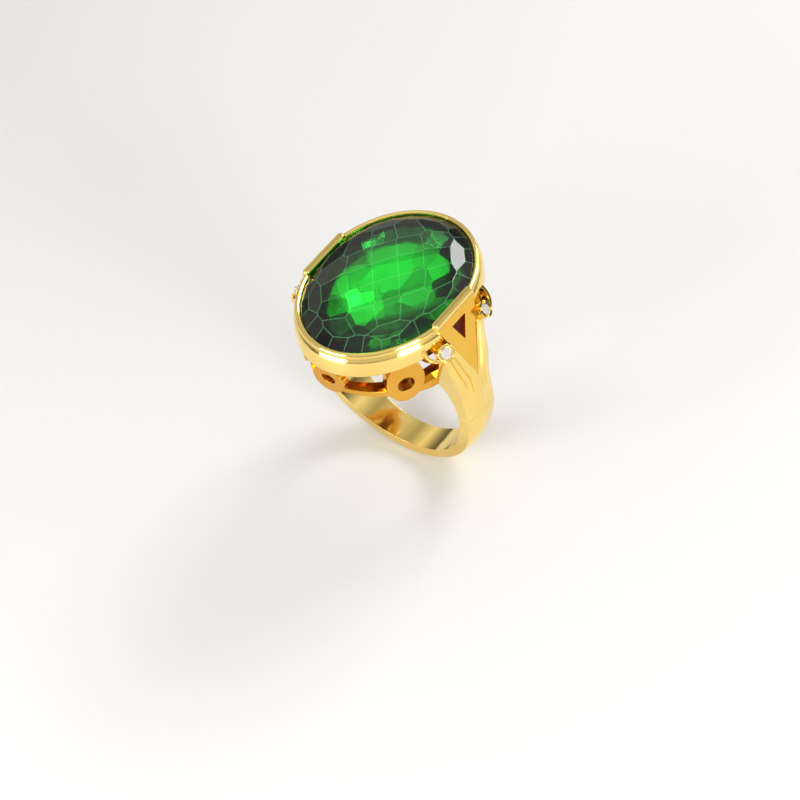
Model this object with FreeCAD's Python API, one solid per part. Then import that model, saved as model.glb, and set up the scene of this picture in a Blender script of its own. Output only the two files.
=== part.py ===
import FreeCAD
import Part
import math
import os

# Cocktail ring, millimetres. Origin at the centre of the finger hole.
# Y runs along the finger, Z points up to the centre stone, X across the hand.
# Front is -Y, back is +Y, right is +X, left is -X.

V = FreeCAD.Vector
os.makedirs("parts", exist_ok=True)

# ---- driving dimensions ----
finger_r = 8.65

stone_a, stone_b = 8.02, 10.38
girdle_low, girdle_high = 13.30, 14.20
crown_base, crown_rise, crown_pitch = 13.78, 2.25, 2.30
pavilion_depth = 3.95

bezel_bottom, bezel_top = 11.76, 14.40
seat_bottom = 11.76

bar_in, bar_out, bar_half = 7.63, 8.45, 3.27
bar_low, bar_high = 14.05, 14.69

plate_top_x, plate_top_z, plate_half = 8.45, 14.15, 3.25
plate_tip_x, plate_tip_z = 10.174, 5.72
plate_thick = 0.55
window_half, window_top, window_low = 1.16, 13.05, 10.45
window_sink = 0.30  # depth of the recess in front of its dark floor

hoop_crown_r, hoop_lift, hoop_crown_arc = 10.30, 0.333, 6.0
hoop_top = 0.5

rail_a, rail_b, rail_wide = 7.30, 10.96, 1.10
rail_under, rail_over = 8.85, 9.45

collet_r, collet_deep, collet_bore = 0.92, 1.40, 0.30
accent_r = 0.70
grain_r = 0.17
cup_r, cup_bore, cup_deep = 1.75, 1.40, 1.70


# ---- helpers ----
def save(name, shape):
    shape.exportStep("parts/" + name + ".step")


def ellipse_wire(a, b, z):
    curve = Part.Ellipse(V(0, b, z), V(-a, 0, z), V(0, 0, z))
    return Part.Wire([curve.toShape()])


def ellipse_stack(sections):
    wires = [ellipse_wire(a, b, z) for a, b, z in sections]
    return Part.makeLoft(wires, True, True)


def ellipse_block(a, b, low, high):
    face = Part.Face(ellipse_wire(a, b, low))
    return face.extrude(V(0, 0, high - low))


def polygon(points):
    return Part.makePolygon(list(points) + [points[0]])


def prism(points, direction):
    return Part.Face(polygon(points)).extrude(direction)


def place(shape, point, u, v, n):
    matrix = FreeCAD.Matrix(
        u.x, v.x, n.x, point.x,
        u.y, v.y, n.y, point.y,
        u.z, v.z, n.z, point.z,
        0, 0, 0, 1)
    moved = shape.copy()
    moved.Placement = FreeCAD.Placement(matrix)
    return moved


def axes_for(normal):
    n = V(normal)
    n.normalize()
    level = math.hypot(n.x, n.y) < 0.000001
    u = V(0, 1, 0).cross(n) if level else V(0, 0, 1).cross(n)
    u.normalize()
    v = n.cross(u)
    return u, v, n


def mirror_x(shape):
    return shape.mirror(V(0, 0, 0), V(1, 0, 0))


def mirror_y(shape):
    return shape.mirror(V(0, 0, 0), V(0, 1, 0))


def four_ways(shape):
    left = mirror_x(shape)
    return {
        "front_right": shape,
        "front_left": left,
        "back_right": mirror_y(shape),
        "back_left": mirror_y(left),
    }


def slice_off(solid, point, normal):
    # takes away everything on the outer side of one flat facet
    u, v, n = axes_for(normal)
    big = Part.makeBox(60, 60, 30, V(-30, -30, 0))
    return solid.cut(place(big, point, u, v, n))


# ---- centre stone: checkerboard crown over a stepped pavilion ----
def crown_facet(x, y):
    rho = (x / stone_a) ** 2 + (y / stone_b) ** 2
    if rho > 0.90:
        return None
    level = math.sqrt(1 - rho)
    slope = crown_rise / level
    normal = V(slope * x / stone_a ** 2, slope * y / stone_b ** 2, 1)
    return V(x, y, crown_base + crown_rise * level), normal


stone = ellipse_block(stone_a, stone_b, girdle_low - pavilion_depth, 17.0)
steps = range(-7, 8)
half_pitch = crown_pitch / math.sqrt(2)
for i in steps:
    for j in steps:
        facet = crown_facet((i - j) * half_pitch, (i + j) * half_pitch)
        if facet:
            stone = slice_off(stone, facet[0], facet[1])
for k in range(24):
    angle = math.radians(15 * k + 7.5)
    x = 0.93 * stone_a * math.cos(angle)
    y = 0.93 * stone_b * math.sin(angle)
    level = math.sqrt(1 - 0.93 ** 2)
    slope = crown_rise / level
    normal = V(slope * x / stone_a ** 2, slope * y / stone_b ** 2, 1)
    stone = slice_off(stone, V(x, y, crown_base + crown_rise * level), normal)

pavilion_rows = ((0.93, 24, 7.5), (0.78, 20, 0.0), (0.58, 16, 11.25), (0.34, 12, 0.0))
for radius, count, turn in pavilion_rows:
    for k in range(count):
        angle = math.radians(360.0 / count * k + turn)
        x = radius * stone_a * math.cos(angle)
        y = radius * stone_b * math.sin(angle)
        level = math.sqrt(1 - radius ** 2)
        slope = pavilion_depth / level
        normal = V(slope * x / stone_a ** 2, slope * y / stone_b ** 2, -1)
        z = girdle_low + 0.10 - pavilion_depth * level
        stone = slice_off(stone, V(x, y, z), normal)
save("centre_stone", stone)


# ---- top bars beside the stone ----
def make_bar():
    box = Part.makeBox(bar_out - bar_in, 2 * bar_half, bar_high - bar_low,
                       V(bar_in, -bar_half, bar_low))
    upright = [e for e in box.Edges if abs(e.tangentAt(e.FirstParameter).z) > 0.9]
    box = box.makeFillet(0.34, upright)
    top = [e for e in box.Edges if e.BoundBox.ZMin > bar_high - 0.01]
    return box.makeFillet(0.24, top)


bar_right = make_bar().cut(stone)
save("bar_right", bar_right)
save("bar_left", mirror_x(bar_right))

# ---- shoulder plates with their triangular windows ----
lean = (plate_tip_x - plate_top_x) / (plate_top_z - plate_tip_z)


def plate_x(z):
    return plate_top_x + lean * (plate_top_z - z)


def plate_y(z):
    return plate_half * max(0.0, (z - plate_tip_z) / (plate_top_z - plate_tip_z))


def plate_prism(inner, outer, low, high):
    corners = [
        V(plate_x(high) + inner, -plate_y(high), high),
        V(plate_x(high) + inner, plate_y(high), high),
    ]
    if plate_y(low) > 0.001:
        corners.append(V(plate_x(low) + inner, plate_y(low), low))
        corners.append(V(plate_x(low) + inner, -plate_y(low), low))
    else:
        corners.append(V(plate_x(low) + inner, 0, low))
    return prism(corners, V(outer - inner, 0, 0))


def window_prism(inner, outer):
    corners = [
        V(inner, -window_half, window_top),
        V(inner, window_half, window_top),
        V(inner, 0, window_low),
    ]
    return prism(corners, V(outer - inner, 0, 0))


plate_right = plate_prism(-plate_thick, 0.0, plate_tip_z, bar_low)
window_plug = plate_right.common(window_prism(6.0, 12.0))
sunk_plug = window_plug.copy()
sunk_plug.translate(V(-window_sink, 0, 0))
window_floor = window_plug.common(sunk_plug)
plate_right = plate_right.cut(window_prism(6.0, 12.0))
save("plate_right", plate_right)
save("plate_left", mirror_x(plate_right))

# ---- bezel: plain wall, step line and rolled lip ----
bezel = ellipse_stack([
    (8.85, 11.42, bezel_bottom),
    (8.87, 11.33, 12.60),
    (8.86, 11.24, 13.22),
    (8.80, 11.17, 13.46),
    (8.69, 11.05, 13.64),
    (8.59, 10.95, 13.76),
    (8.56, 10.92, 13.84),
    (8.60, 10.96, 13.96),
    (8.61, 10.97, 14.08),
    (8.58, 10.94, 14.20),
    (8.51, 10.87, 14.31),
    (8.40, 10.76, 14.38),
    (8.29, 10.65, bezel_top),
    (8.18, 10.54, 14.37),
    (8.08, 10.44, 14.30),
    (stone_a, stone_b, 14.18),
])
bezel = bezel.cut(ellipse_block(stone_a, stone_b, bezel_bottom - 1, bezel_top + 1))
clear_right = plate_prism(-plate_thick, 2.0, plate_tip_z, bar_low)
clear_bar = Part.makeBox(3.0, 2 * bar_half, 1.0, V(bar_in, -bar_half, bar_low))
for cutter in (clear_right, clear_bar, window_prism(7.0, 12.0)):
    bezel = bezel.cut(cutter).cut(mirror_x(cutter))
save("bezel", bezel)

# ---- seat: the ledge the stone rests on ----
seat = ellipse_block(stone_a, stone_b, seat_bottom, girdle_low)
seat = seat.cut(ellipse_block(7.20, 9.45, seat_bottom - 1, girdle_low + 1))
seat = seat.cut(stone)
save("stone_seat", seat)


# ---- hoop round the finger ----
def hoop_half_width(z):
    u = 1 + z / finger_r
    return 1.592 + 1.432 * u - 0.632 * u * u


def make_hoop():
    drop = hoop_crown_arc - math.sqrt(hoop_crown_arc ** 2 - 9.0)
    a = V(6.0, -3.0, hoop_lift)
    b = V(hoop_crown_r - drop, -3.0, hoop_lift)
    c = V(hoop_crown_r, 0, hoop_lift)
    d = V(hoop_crown_r - drop, 3.0, hoop_lift)
    e = V(6.0, 3.0, hoop_lift)
    edges = [
        Part.makeLine(a, b),
        Part.Arc(b, c, d).toShape(),
        Part.makeLine(d, e),
        Part.makeLine(e, a),
    ]
    body = Part.Face(Part.Wire(edges)).revolve(V(0, 0, hoop_lift), V(0, 1, 0), 360)
    levels = [-11.0, -8.65, -6.5, -4.0, -1.5, hoop_top]
    side = [V(-12, hoop_half_width(max(z, -finger_r)), z) for z in levels]
    curve = Part.BSplineCurve()
    curve.interpolate(side)
    other = Part.BSplineCurve()
    other.interpolate([V(p.x, -p.y, p.z) for p in side])
    outline = [
        curve.toShape(),
        Part.makeLine(side[-1], V(-12, -side[-1].y, side[-1].z)),
        other.toShape(),
        Part.makeLine(V(-12, -side[0].y, side[0].z), side[0]),
    ]
    outline = Part.Wire(Part.__sortEdges__(outline))
    width = Part.Face(outline).extrude(V(24, 0, 0))
    body = body.common(width)
    bore = Part.makeCylinder(finger_r, 40, V(0, -20, 0), V(0, 1, 0))
    return body.cut(bore)


hoop = make_hoop()
save("hoop", hoop)

# ---- accent collets, stones, grains and scroll cups on the shoulders ----
accent_at = V(9.47, -3.53, 11.78)
accent_u, accent_v, accent_n = axes_for(V(0.75, -0.25, 0.61))


def ten_sided(r, z, turn):
    return polygon([
        V(r * math.cos(math.radians(36 * k + turn)), r * math.sin(math.radians(36 * k + turn)), z)
        for k in range(10)])


def accent_place(shape):
    return place(shape, accent_at, accent_u, accent_v, accent_n)


brilliant = Part.makeLoft([
    ten_sided(0.05, -0.72, 0),
    ten_sided(accent_r, -0.22, 0),
    ten_sided(accent_r, -0.16, 0),
    ten_sided(0.40, 0.06, 0),
], True, True)
collet_body = Part.makeCone(collet_r - 0.16, collet_r, collet_deep, V(0, 0, -collet_deep - 0.08))
collet_solid = accent_place(collet_body)
collet = collet_body.cut(Part.makeCylinder(collet_bore, 4, V(0, 0, -3)))
collet = collet.cut(brilliant)
accent = accent_place(brilliant)
grains = []
for k in range(4):
    angle = math.radians(45 + 90 * k)
    ball = Part.makeSphere(grain_r, V(0.76 * math.cos(angle), 0.76 * math.sin(angle), -0.05))
    ball = ball.cut(collet_body).cut(brilliant)
    grains.append(accent_place(ball))
grains = Part.makeCompound(grains)
collet = accent_place(collet)

cup_at = V(8.60, -3.75, 12.60)
cup = Part.makeCylinder(cup_r, cup_deep, V(0, 0, -cup_deep))
cup = place(cup, cup_at, accent_u, accent_v, accent_n)
cup_hole = Part.makeCylinder(cup_bore, 3 * cup_deep, V(0, 0, -1.5 * cup_deep))
cup_hole = place(cup_hole, cup_at, accent_u, accent_v, accent_n)

bezel_solid = ellipse_stack([(8.85, 11.42, bezel_bottom), (8.87, 11.33, 12.60), (8.86, 11.24, 14.5)])
plate_solid = plate_prism(-plate_thick, 0.0, plate_tip_z, bar_low)

collet = collet.cut(bezel_solid).cut(plate_solid)
cup = cup.cut(cup_hole).cut(bezel_solid).cut(collet_solid)
cup = cup.cut(plate_prism(-plate_thick, 4.0, plate_tip_z, 16.0))
cup = cup.cut(plate_prism(-4.0, 4.0, plate_tip_z, 16.0))
cup = max(cup.Solids, key=lambda s: s.Volume)

# ---- fluted shoulder arms ----
arm_levels = [
    # z, inner x, outer x, outer half width, groove depth, edge drop
    (hoop_top, 7.60, 10.299, hoop_half_width(hoop_top), 0.00, 0.50),
    (2.00, 7.50, 10.22, 2.42, 0.05, 0.52),
    (4.00, 7.00, 10.13, 2.48, 0.16, 0.56),
    (plate_tip_z, 6.12, 10.12, 2.85, 0.27, 0.64),
    (6.25, 5.85, 10.11, 2.98, 0.30, 0.66),
    (8.30, 7.80, 9.72, 3.22, 0.30, 0.62),
    (9.60, 8.25, 9.46, 3.46, 0.22, 0.48),
    (11.10, 8.35, 9.20, 3.95, 0.10, 0.32),
]
ridge_line = ((0.16, 0.0), (0.30, 1.0), (0.42, 0.1), (0.56, 1.0), (0.70, 0.15), (0.88, 0.25))


def arm_section(z, inner, outer, half, groove, drop):
    start = plate_y(z)
    span = half - start
    points = [V(inner, -start, z), V(outer, -start, z)]
    for fraction, depth in ridge_line:
        fall = drop * fraction ** 2 + groove * depth
        points.append(V(outer - fall, -start - span * fraction, z))
    points.append(V(outer - drop, -half, z))
    points.append(V(inner, -half, z))
    return polygon(points)


arm = Part.makeLoft([arm_section(*level) for level in arm_levels], True, True)
arm = arm.cut(Part.makeCylinder(finger_r, 40, V(0, -20, 0), V(0, 1, 0)))
arm = arm.cut(plate_solid).cut(bezel_solid).cut(collet_solid)
arm = arm.cut(cup).cut(cup_hole)
arm = max(arm.Solids, key=lambda s: s.Volume)
arms = four_ways(arm)

save("window_floor_right", window_floor)
save("window_floor_left", window_floor.mirror(V(0, 0, 0), V(1, 0, 0)))
for place_name, shape in four_ways(collet).items():
    save("collet_" + place_name, shape)
for place_name, shape in four_ways(accent).items():
    save("accent_stone_" + place_name, shape)
for place_name, shape in four_ways(grains).items():
    save("grains_" + place_name, shape)
for place_name, shape in four_ways(cup).items():
    save("scroll_cup_" + place_name, shape)
for place_name, shape in arms.items():
    save("arm_" + place_name, shape)

# ---- lower gallery rail, a flat band that saddles the finger ----
rail = ellipse_block(rail_a, rail_b, 0.0, 11.0)
rail = rail.cut(ellipse_block(rail_a - rail_wide, rail_b - rail_wide, -1.0, 12.0))
over = Part.makeCylinder(rail_over, 40, V(0, -20, 0), V(0, 1, 0))
under = Part.makeCylinder(rail_under, 40, V(0, -20, 0), V(0, 1, 0))
rail = rail.common(over).cut(under).cut(hoop)
for shape in arms.values():
    rail = rail.cut(shape)
rail = max(rail.Solids, key=lambda s: s.Volume)
save("gallery_rail", rail)


# ---- upright scroll rings between the rail and the bezel ----
def scroll(centre, normal, thick, wide, high, hole_wide, hole_high, hole_shift):
    u, v, n = axes_for(normal)

    def oval(rx, ry, shift):
        if rx >= ry:
            curve = Part.Ellipse(V(rx, shift, 0), V(0, ry + shift, 0), V(0, shift, 0))
        else:
            curve = Part.Ellipse(V(0, ry + shift, 0), V(-rx, shift, 0), V(0, shift, 0))
        return Part.Face(Part.Wire([curve.toShape()])).extrude(V(0, 0, thick))

    ring = oval(wide, high, 0.0).cut(oval(hole_wide, hole_high, hole_shift))
    ring = place(ring, centre - n * (thick / 2), u, v, n)
    ring = ring.cut(rail).cut(ellipse_block(8.85, 11.42, bezel_bottom, 15.0))
    for shape in arms.values():
        ring = ring.cut(shape)
    return max(ring.Solids, key=lambda s: s.Volume)


end_scroll = scroll(V(0, -10.68, 10.20), V(0, -1, 0), 0.84, 1.90, 1.62, 0.84, 0.56, 0.10)
save("scroll_front", end_scroll)
save("scroll_back", mirror_y(end_scroll))
corner_scroll = scroll(V(5.92, -6.55, 9.12), V(0.866, -0.5, 0), 1.00, 2.10, 2.68, 0.93, 0.90, -0.42)
for place_name, shape in four_ways(corner_scroll).items():
    save("scroll_" + place_name, shape)
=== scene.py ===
import bpy
import bmesh
import math
from mathutils import Matrix, Vector


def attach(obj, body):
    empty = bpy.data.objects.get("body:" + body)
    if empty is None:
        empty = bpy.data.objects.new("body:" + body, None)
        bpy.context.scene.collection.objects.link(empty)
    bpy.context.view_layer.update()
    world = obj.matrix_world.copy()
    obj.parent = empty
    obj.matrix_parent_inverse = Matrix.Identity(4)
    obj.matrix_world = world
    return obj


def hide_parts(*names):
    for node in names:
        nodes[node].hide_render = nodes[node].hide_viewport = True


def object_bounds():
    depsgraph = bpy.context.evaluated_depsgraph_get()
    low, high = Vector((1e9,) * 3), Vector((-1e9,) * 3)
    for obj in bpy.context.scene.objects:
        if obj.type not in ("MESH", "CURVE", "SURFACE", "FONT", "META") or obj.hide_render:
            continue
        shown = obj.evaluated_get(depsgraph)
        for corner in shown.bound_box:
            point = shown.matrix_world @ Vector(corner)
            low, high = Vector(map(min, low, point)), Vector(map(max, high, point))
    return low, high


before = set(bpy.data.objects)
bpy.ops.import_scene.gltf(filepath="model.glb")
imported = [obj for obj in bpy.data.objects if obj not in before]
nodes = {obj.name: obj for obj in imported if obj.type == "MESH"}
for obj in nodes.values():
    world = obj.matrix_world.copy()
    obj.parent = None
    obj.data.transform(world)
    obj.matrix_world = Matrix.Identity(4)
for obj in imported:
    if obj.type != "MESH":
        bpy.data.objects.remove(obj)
cad_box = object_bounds()
MM = 0.001


# ---- shader helpers ----
def new_material(name):
    material = bpy.data.materials.new(name)
    material.use_nodes = True
    tree = material.node_tree
    tree.nodes.clear()
    out = tree.nodes.new("ShaderNodeOutputMaterial")
    shader = tree.nodes.new("ShaderNodeBsdfPrincipled")
    tree.links.new(shader.outputs["BSDF"], out.inputs["Surface"])
    return material, tree, shader


def add(tree, kind, **values):
    node = tree.nodes.new(kind)
    for key, value in values.items():
        if key in node.inputs:
            node.inputs[key].default_value = value
        else:
            setattr(node, key, value)
    return node


def fill_ramp(node, stops):
    """Colours along a ramp, first and last stop on the two points it starts with."""
    points = node.color_ramp.elements
    points[0].position = stops[0][0]
    points[1].position = stops[-1][0]
    points[0].color = (*stops[0][1], 1)
    points[1].color = (*stops[-1][1], 1)
    for position, colour in stops[1:-1]:
        points.new(position).color = (*colour, 1)


def wear_group():
    """Soft polish marks and colour drift shared by every gold finish."""
    cloud_scale, speck_scale, speck_depth = 260.0, 2600.0, 0.08
    group = bpy.data.node_groups.new("polish_drift", "ShaderNodeTree")
    face = group.interface
    for label, kind, value in (
            ("Bright", "NodeSocketColor", (0.95, 0.66, 0.2, 1)),
            ("Deep", "NodeSocketColor", (0.85, 0.5, 0.1, 1)),
            ("Scale", "NodeSocketFloat", 1.0),
            ("Polish", "NodeSocketFloat", 0.1)):
        socket = face.new_socket(name=label, in_out="INPUT", socket_type=kind)
        socket.default_value = value
    for label, kind in (("Color", "NodeSocketColor"), ("Roughness", "NodeSocketFloat"),
                        ("Height", "NodeSocketFloat")):
        face.new_socket(name=label, in_out="OUTPUT", socket_type=kind)
    start = group.nodes.new("NodeGroupInput")
    end = group.nodes.new("NodeGroupOutput")
    place = group.nodes.new("ShaderNodeTexCoord")
    wide = group.nodes.new("ShaderNodeMath")
    wide.operation = "MULTIPLY"
    wide.inputs[1].default_value = cloud_scale
    group.links.new(start.outputs["Scale"], wide.inputs[0])
    cloud = group.nodes.new("ShaderNodeTexNoise")
    cloud.inputs["Detail"].default_value = 3.0
    group.links.new(place.outputs["Object"], cloud.inputs["Vector"])
    group.links.new(wide.outputs[0], cloud.inputs["Scale"])
    fine = group.nodes.new("ShaderNodeMath")
    fine.operation = "MULTIPLY"
    fine.inputs[1].default_value = speck_scale
    group.links.new(start.outputs["Scale"], fine.inputs[0])
    specks = group.nodes.new("ShaderNodeTexNoise")
    specks.inputs["Detail"].default_value = 4.0
    group.links.new(place.outputs["Object"], specks.inputs["Vector"])
    group.links.new(fine.outputs[0], specks.inputs["Scale"])
    mix = group.nodes.new("ShaderNodeMix")
    mix.data_type = "RGBA"
    group.links.new(cloud.outputs["Fac"], mix.inputs["Factor"])
    group.links.new(start.outputs["Deep"], mix.inputs[6])
    group.links.new(start.outputs["Bright"], mix.inputs[7])
    group.links.new(mix.outputs[2], end.inputs["Color"])
    rough = group.nodes.new("ShaderNodeMath")
    rough.operation = "MULTIPLY_ADD"
    rough.inputs[1].default_value = speck_depth
    group.links.new(specks.outputs["Fac"], rough.inputs[0])
    group.links.new(start.outputs["Polish"], rough.inputs[2])
    group.links.new(rough.outputs[0], end.inputs["Roughness"])
    group.links.new(cloud.outputs["Fac"], end.inputs["Height"])
    return group


polish_drift = wear_group()


def gold(name, bright, deep, polish, wave=0.10, soften=0.00006):
    """Polished gold; soften is the radius in metres over which an edge catches light."""
    material, tree, shader = new_material(name)
    group = add(tree, "ShaderNodeGroup", node_tree=polish_drift)
    group.inputs["Bright"].default_value = (*bright, 1)
    group.inputs["Deep"].default_value = (*deep, 1)
    group.inputs["Polish"].default_value = polish
    bump = add(tree, "ShaderNodeBump", Strength=wave, Distance=0.0003)
    edge = add(tree, "ShaderNodeBevel", Radius=soften)
    edge.samples = 4
    tree.links.new(edge.outputs["Normal"], bump.inputs["Normal"])
    tree.links.new(group.outputs["Color"], shader.inputs["Base Color"])
    tree.links.new(group.outputs["Roughness"], shader.inputs["Roughness"])
    tree.links.new(group.outputs["Height"], bump.inputs["Height"])
    tree.links.new(bump.outputs["Normal"], shader.inputs["Normal"])
    shader.inputs["Metallic"].default_value = 1.0
    return material


pale_yellow, deep_yellow = (0.97, 0.76, 0.28), (0.92, 0.64, 0.15)
bright_gold = gold("bright_gold", pale_yellow, deep_yellow, 0.06)
bezel_gold = gold("bezel_gold", pale_yellow, deep_yellow, 0.07, soften=0.00018)
# painted shade: near-black brown gold on the window floors, standing in for the shade inside
# the plates' windows
window_painted_shade = gold("window_painted_shade", (0.15, 0.025, 0.015), (0.07, 0.010, 0.008), 0.30)
# painted reflection: a more orange copy of the gold on the plates, standing in for a warm
# reflection on their flat faces
plate_painted_reflection_gold = gold("plate_painted_reflection_gold", (0.92, 0.56, 0.09), (0.84, 0.47, 0.06), 0.20, wave=0.05)
# painted shade and painted reflection: a darker, more orange copy of the gold on the gallery
# rail and scrolls under the head
gallery_painted_shade_gold = gold("gallery_painted_shade_gold", (0.84, 0.46, 0.07), (0.72, 0.33, 0.04), 0.15)
# painted shade: dark brown gold on the stone seat, standing in for the shade in the recess
# under the stone
hollow_painted_shade = gold("hollow_painted_shade", (0.30, 0.12, 0.03), (0.16, 0.05, 0.02), 0.30)


def gem(name, colour, ior, roughness=0.0, transmission=1.0):
    material, tree, shader = new_material(name)
    shader.inputs["Base Color"].default_value = (*colour, 1)
    shader.inputs["Transmission Weight"].default_value = transmission
    shader.inputs["Roughness"].default_value = roughness
    shader.inputs["IOR"].default_value = ior
    return material


def foil_gem(name):
    """Mirror backing of the green stone, with painted light in its colour: a painted highlight
    bright in the middle and painted shade dark at its rim.

    Seen from under the stone, through the gallery, the backing is brown gold.
    """
    material, tree, shader = new_material(name)
    foil_half_x, foil_half_y = 0.00802, 0.01038
    place = add(tree, "ShaderNodeTexCoord")
    spread = add(tree, "ShaderNodeMapping", Scale=(1 / foil_half_x, 1 / foil_half_y, 0.0))
    away = add(tree, "ShaderNodeVectorMath", operation="LENGTH")
    turned = add(tree, "ShaderNodeMapping", Rotation=(0, 0, math.radians(45)))
    cells = add(tree, "ShaderNodeTexVoronoi", Scale=300.0, Randomness=0.45)
    cells.distance = "CHEBYCHEV"
    # painted highlight and painted shade: bright green in the middle of the oval, dark green
    # towards its rim
    painted_light_ramp = add(tree, "ShaderNodeValToRGB")
    fill_ramp(painted_light_ramp, ((0.40, (0.03, 1.0, 0.12)), (0.64, (0.02, 0.80, 0.09)),
                    (0.70, (0.015, 0.22, 0.06)), (0.86, (0.01, 0.10, 0.04))))
    patch = add(tree, "ShaderNodeValToRGB")
    fill_ramp(patch, ((0.0, (0.28, 0.32, 0.30)), (1.0, (1, 1, 1))))
    split = add(tree, "ShaderNodeSeparateColor")
    blend = add(tree, "ShaderNodeMix", data_type="RGBA", blend_type="MULTIPLY")
    blend.inputs["Factor"].default_value = 0.8
    link = tree.links.new
    link(place.outputs["Object"], spread.inputs["Vector"])
    link(spread.outputs["Vector"], away.inputs[0])
    link(away.outputs["Value"], painted_light_ramp.inputs["Fac"])
    link(place.outputs["Object"], turned.inputs["Vector"])
    link(turned.outputs["Vector"], cells.inputs["Vector"])
    link(cells.outputs["Color"], split.inputs["Color"])
    link(split.outputs[0], patch.inputs["Fac"])
    link(painted_light_ramp.outputs["Color"], blend.inputs[6])
    link(patch.outputs["Color"], blend.inputs[7])
    inside = add(tree, "ShaderNodeNewGeometry")
    sides = add(tree, "ShaderNodeMix", data_type="RGBA")
    sides.inputs[6].default_value = (0.30, 0.13, 0.03, 1)
    link(inside.outputs["Backfacing"], sides.inputs["Factor"])
    link(blend.outputs[2], sides.inputs[7])
    link(sides.outputs[2], shader.inputs["Base Color"])
    shader.inputs["Metallic"].default_value = 1.0
    shader.inputs["Roughness"].default_value = 0.12
    return material


green_gem = gem("green_gem", (0.32, 0.96, 0.42), 1.50)
facet_edge = gem("facet_edge", (0.30, 0.98, 0.42), 1.50, roughness=0.18, transmission=0.80)
green_foil = foil_gem("green_foil")
clear_gem = gem("clear_gem", (0.98, 0.99, 1.0), 2.0, transmission=0.6)


# ---- centre stone: checkerboard crown over a stepped, foiled pavilion ----
# Sizes in millimetres; the finished mesh is scaled to metres.
half_x, half_y = 8.0, 10.36
stone_low, stone_high, blank_sides = 9.40, 16.0, 72
crown_base, crown_rise = 13.62, 2.38
pavilion_base, pavilion_depth = 13.32, 3.85
checker_pitch, checker_reach, checker_rows = 0.285, 0.80, 6
rim_facets, rim_place = 28, 0.93
pavilion_rows = ((0.92, 24, 0.5), (0.76, 20, 0.0), (0.56, 14, 0.5), (0.30, 8, 0.5))
arris_width = 0.035


def stone_blank(body):
    rings = []
    for z in (stone_low, stone_high):
        rings.append([body.verts.new((half_x * math.cos(math.tau * k / blank_sides),
                                      half_y * math.sin(math.tau * k / blank_sides), z))
                      for k in range(blank_sides)])
    for k in range(blank_sides):
        j = (k + 1) % blank_sides
        body.faces.new((rings[0][k], rings[0][j], rings[1][j], rings[1][k]))
    body.faces.new(list(reversed(rings[0])))
    body.faces.new(rings[1])


def slice_off(body, point, normal):
    geometry = body.verts[:] + body.edges[:] + body.faces[:]
    result = bmesh.ops.bisect_plane(body, geom=geometry, plane_co=point, plane_no=normal,
                                    dist=0.00001, clear_outer=True)
    rim = [g for g in result["geom_cut"] if isinstance(g, bmesh.types.BMEdge)]
    if len(rim) > 2:
        bmesh.ops.edgeloop_fill(body, edges=rim)


def dome_facet(body, x, y, base, rise, side):
    """One flat facet touching an oval dome; side is 1 for the crown, -1 below."""
    level = math.sqrt(1 - (x / half_x) ** 2 - (y / half_y) ** 2)
    slope = rise / level
    normal = Vector((slope * x / half_x ** 2, slope * y / half_y ** 2, side))
    slice_off(body, Vector((x, y, base + side * rise * level)), normal.normalized())


def cut_crown(body):
    for i in range(-checker_rows, checker_rows + 1):
        for j in range(-checker_rows, checker_rows + 1):
            x = (i - j) * checker_pitch / math.sqrt(2) * half_x
            y = (i + j) * checker_pitch / math.sqrt(2) * half_y
            if (x / half_x) ** 2 + (y / half_y) ** 2 < checker_reach:
                dome_facet(body, x, y, crown_base, crown_rise, 1)
    for k in range(rim_facets):
        angle = math.tau * (k + 0.5) / rim_facets
        dome_facet(body, rim_place * half_x * math.cos(angle),
                   rim_place * half_y * math.sin(angle), crown_base, crown_rise, 1)


def cut_pavilion(body):
    for radius, count, turn in pavilion_rows:
        for k in range(count):
            angle = math.tau * (k + turn) / count
            dome_facet(body, radius * half_x * math.cos(angle),
                       radius * half_y * math.sin(angle), pavilion_base, pavilion_depth, -1)


def ease_crown_edges(body):
    """Narrow polished strips between the crown's facets; gives back those strips."""
    crown = [e for e in body.edges if len(e.link_faces) == 2
             and all(f.normal.z > 0.3 for f in e.link_faces)]
    planes = [(f.normal.copy(), f.normal.dot(f.calc_center_median())) for f in body.faces]
    bmesh.ops.bevel(body, geom=crown, offset=arris_width, segments=1, affect="EDGES",
                    clamp_overlap=True)
    strips = set()
    for face in body.faces:
        middle = face.calc_center_median()
        flat = any(n.dot(face.normal) > 0.99998 and abs(n.dot(middle) - d) < 0.004
                   for n, d in planes)
        if face.normal.z > 0.2 and not flat:
            strips.add(face)
    return strips


def cut_stone():
    """The oval green stone, cut facet by facet from an upright oval blank."""
    body = bmesh.new()
    stone_blank(body)
    cut_crown(body)
    cut_pavilion(body)
    bmesh.ops.dissolve_degenerate(body, dist=0.01, edges=body.edges)
    bmesh.ops.recalc_face_normals(body, faces=body.faces)
    strips = ease_crown_edges(body)
    bmesh.ops.scale(body, vec=(MM, MM, MM), verts=body.verts)
    bmesh.ops.recalc_face_normals(body, faces=body.faces)
    for face in body.faces:
        face.smooth = False
        if face in strips:
            face.material_index = 2
        else:
            face.material_index = 1 if face.normal.z < -0.05 else 0
    mesh = bpy.data.meshes.new("cut_green_stone")
    body.to_mesh(mesh)
    body.free()
    obj = bpy.data.objects.new("cut_green_stone", mesh)
    for material in (green_gem, green_foil, facet_edge):
        mesh.materials.append(material)
    bpy.context.collection.objects.link(obj)
    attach(obj, "root")
    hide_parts("centre_stone")


cut_stone()

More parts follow.
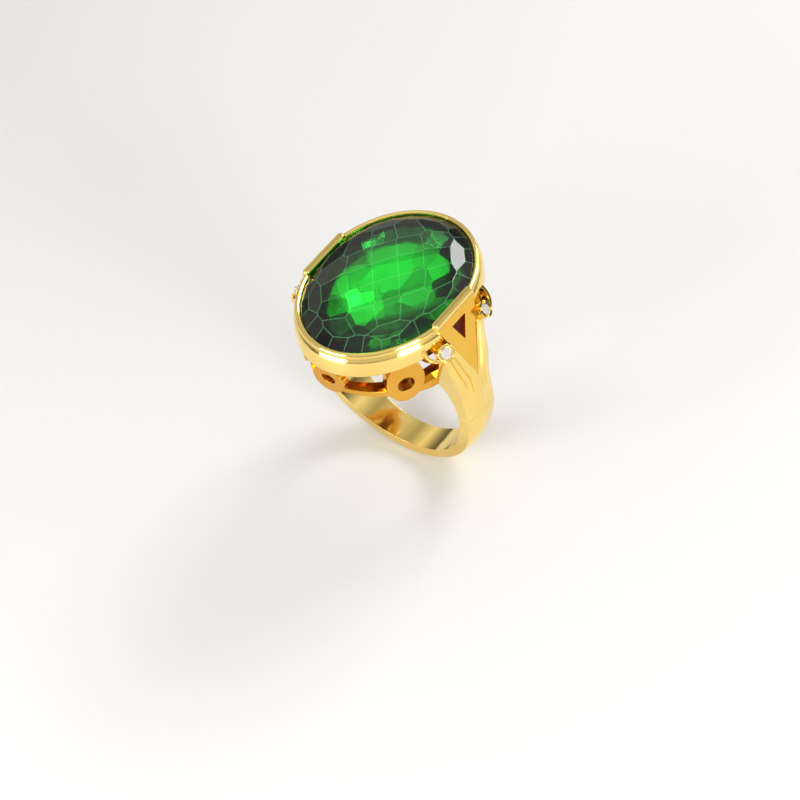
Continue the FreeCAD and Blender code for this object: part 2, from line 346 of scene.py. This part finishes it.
# ---- finishes of the other pieces, some darkened or warmed by painted shade and painted reflection; bright gold where none is named ----
finish_and_painted_light = {
    "bezel": bezel_gold,
    "window_floor_right": window_painted_shade,
    "window_floor_left": window_painted_shade,
    "plate_right": plate_painted_reflection_gold,
    "plate_left": plate_painted_reflection_gold,
    "gallery_rail": gallery_painted_shade_gold,
    "stone_seat": hollow_painted_shade,
}
for name, obj in nodes.items():
    if name.startswith("accent_stone"):
        material = clear_gem
    elif name in finish_and_painted_light:
        material = finish_and_painted_light[name]
    elif name.startswith("scroll_") and "cup" not in name:
        material = gallery_painted_shade_gold
    else:
        material = bright_gold
    for slot in obj.material_slots:
        slot.material = material

# ---- floor and light ----
floor_z = cad_box[0][2]
mesh = bpy.data.meshes.new("floor")
reach = 0.6
pale_level = 0.86
mesh.from_pydata([(-reach, -reach, floor_z), (reach, -reach, floor_z),
                  (reach, reach, floor_z), (-reach, reach, floor_z)], [], [(0, 1, 2, 3)])
floor = bpy.data.objects.new("floor", mesh)
bpy.context.collection.objects.link(floor)
floor_material, tree, shader = new_material("pale_floor")
shader.inputs["Base Color"].default_value = (0.72, 0.72, 0.72, 1)
shader.inputs["Roughness"].default_value = 0.6
floor.data.materials.append(floor_material)

world = bpy.data.worlds.new("studio")
bpy.context.scene.world = world
world.use_nodes = True
sky = world.node_tree
background = sky.nodes["Background"]
place = add(sky, "ShaderNodeTexCoord")
height = add(sky, "ShaderNodeSeparateXYZ")
shade = add(sky, "ShaderNodeValToRGB")
sky_bands = ((0.0, 0.45), (0.46, 1.10), (0.53, 0.08), (0.62, 0.34), (0.74, 0.95), (0.86, 0.42))
warm_bands = [(position, (level, level * 0.97, level * 0.92)) for position, level in sky_bands]
fill_ramp(shade, [*warm_bands, (1.0, (1, 1, 1))])
turned = add(sky, "ShaderNodeMath", operation="MULTIPLY_ADD")
turned.inputs[1].default_value = 0.5
turned.inputs[2].default_value = 0.5
seen = add(sky, "ShaderNodeLightPath")
pale = add(sky, "ShaderNodeMix", data_type="RGBA")
pale.inputs[7].default_value = (pale_level, pale_level, pale_level, 1)
sky.links.new(place.outputs["Generated"], height.inputs["Vector"])
sky.links.new(height.outputs["Z"], turned.inputs[0])
sky.links.new(turned.outputs[0], shade.inputs["Fac"])
sky.links.new(shade.outputs["Color"], pale.inputs[6])
sky.links.new(seen.outputs["Is Camera Ray"], pale.inputs["Factor"])
sky.links.new(pale.outputs[2], background.inputs["Color"])


def softbox(name, place, aim, size, power):
    lamp = bpy.data.lights.new(name, "AREA")
    lamp.shape = "RECTANGLE"
    lamp.size, lamp.size_y = size
    lamp.energy = power
    obj = bpy.data.objects.new(name, lamp)
    obj.location = place
    direction = Vector(aim) - Vector(place)
    obj.rotation_euler = direction.to_track_quat("-Z", "Y").to_euler()
    bpy.context.collection.objects.link(obj)


softbox("key_box", (0.03, 0.22, 0.17), (0, 0, 0.01), (0.12, 0.10), 0.34)
softbox("left_box", (-0.06, -0.20, 0.07), (0, 0, 0.005), (0.14, 0.08), 0.34)
softbox("right_box", (0.20, -0.06, 0.05), (0, 0, 0.005), (0.07, 0.12), 0.32)

# ---- camera ----
azimuth, elevation, lean = (math.radians(a) for a in (42.56, 46.53, 10.07))
distance = 0.28171
camera_data = bpy.data.cameras.new("camera")
camera_data.sensor_width = 36.0
camera_data.lens = 120.6
camera_data.shift_x = -0.00529
camera_data.shift_y = -0.02881
camera_data.clip_start = 0.01
camera = bpy.data.objects.new("camera", camera_data)
back = Vector((math.sin(azimuth) * math.cos(elevation),
               -math.cos(azimuth) * math.cos(elevation), math.sin(elevation)))
turn = (-back).to_track_quat("-Z", "Y").to_matrix().to_4x4() @ Matrix.Rotation(-lean, 4, "Z")
camera.matrix_world = Matrix.Translation(back * distance) @ turn
bpy.context.collection.objects.link(camera)
bpy.context.scene.camera = camera
bpy.context.scene.view_settings.view_transform = "Standard"
